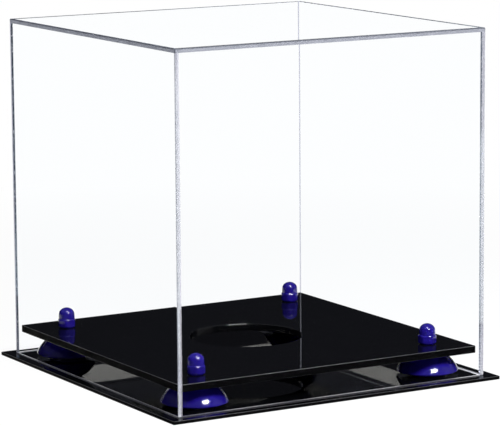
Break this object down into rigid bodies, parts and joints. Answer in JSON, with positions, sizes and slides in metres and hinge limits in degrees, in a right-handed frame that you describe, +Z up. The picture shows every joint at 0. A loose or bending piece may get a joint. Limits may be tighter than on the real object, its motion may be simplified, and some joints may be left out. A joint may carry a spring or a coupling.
{
  "type": "bowling ball display case",
  "caption": "Clear box cover that lifts off a glossy black two-tier stand, with a round seat hole in the raised platform, domed risers and cap nuts.",
  "frame": {"origin": "middle of the base plate's underside, on the surface that the case stands on", "axes": "+Z up, -Y out of the front, +X to the right of someone who faces the front"},
  "size_m": [0.271, 0.271, 0.2565],
  "materials": {
    "clear_acrylic": "polished",
    "black_acrylic": "polished",
    "blue_plastic": "gloss",
    "zinc_steel": "satin"
  },
  "bodies": {
    "stand": {"base_plate": "black_acrylic", "platform_plate": "black_acrylic", "riser_front_left": "blue_plastic", "riser_front_right": "blue_plastic", "riser_back_left": "blue_plastic", "riser_back_right": "blue_plastic", "cap_nut_front_left": "blue_plastic", "cap_nut_front_right": "blue_plastic", "cap_nut_back_left": "blue_plastic", "cap_nut_back_right": "blue_plastic", "screw_front_left": "zinc_steel", "screw_front_right": "zinc_steel", "screw_back_left": "zinc_steel", "screw_back_right": "zinc_steel"},
    "cover": {"cover_top": "clear_acrylic", "cover_front": "clear_acrylic", "cover_back": "clear_acrylic", "cover_left": "clear_acrylic", "cover_right": "clear_acrylic"}
  },
  "joints": [
    {"name": "cover_lift", "type": "slide", "parent": "stand", "child": "cover", "axis": [0, 0, 1], "range_m": [0, 0.26]}
  ]
}
